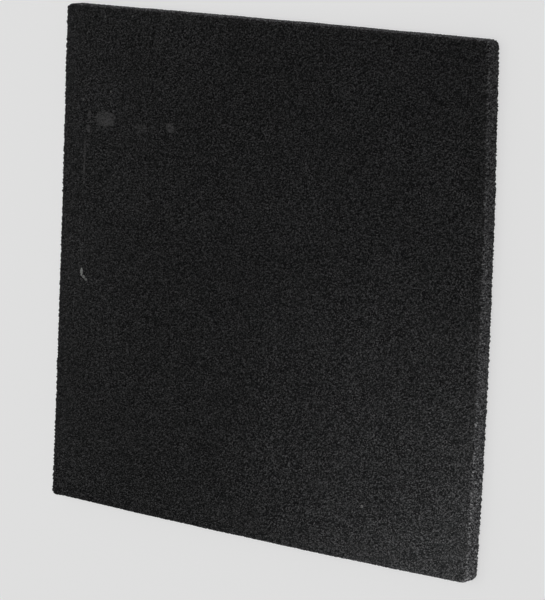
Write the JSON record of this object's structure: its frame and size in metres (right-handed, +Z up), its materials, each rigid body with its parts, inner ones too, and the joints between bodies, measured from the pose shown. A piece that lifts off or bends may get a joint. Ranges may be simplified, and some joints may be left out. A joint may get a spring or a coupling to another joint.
{
  "type": "balance pad",
  "caption": "Thin square balance pad: a single uncovered slab of black open-cell foam with softly rounded edges and corners, laid flat to stand on.",
  "frame": {"origin": "centre of the underside, which is the face that the pad lies on", "axes": "+Z up through the thickness to the face that is stood on; +X along the width and +Y along the length, both parallel to the sides"},
  "size_m": [0.5, 0.5, 0.018],
  "materials": {
    "foam": "matt black open-cell foam, cells about 2 mm across, no skin and no cover"
  },
  "bodies": {
    "root": {"foam_slab": "foam"}
  },
  "joints": []
}
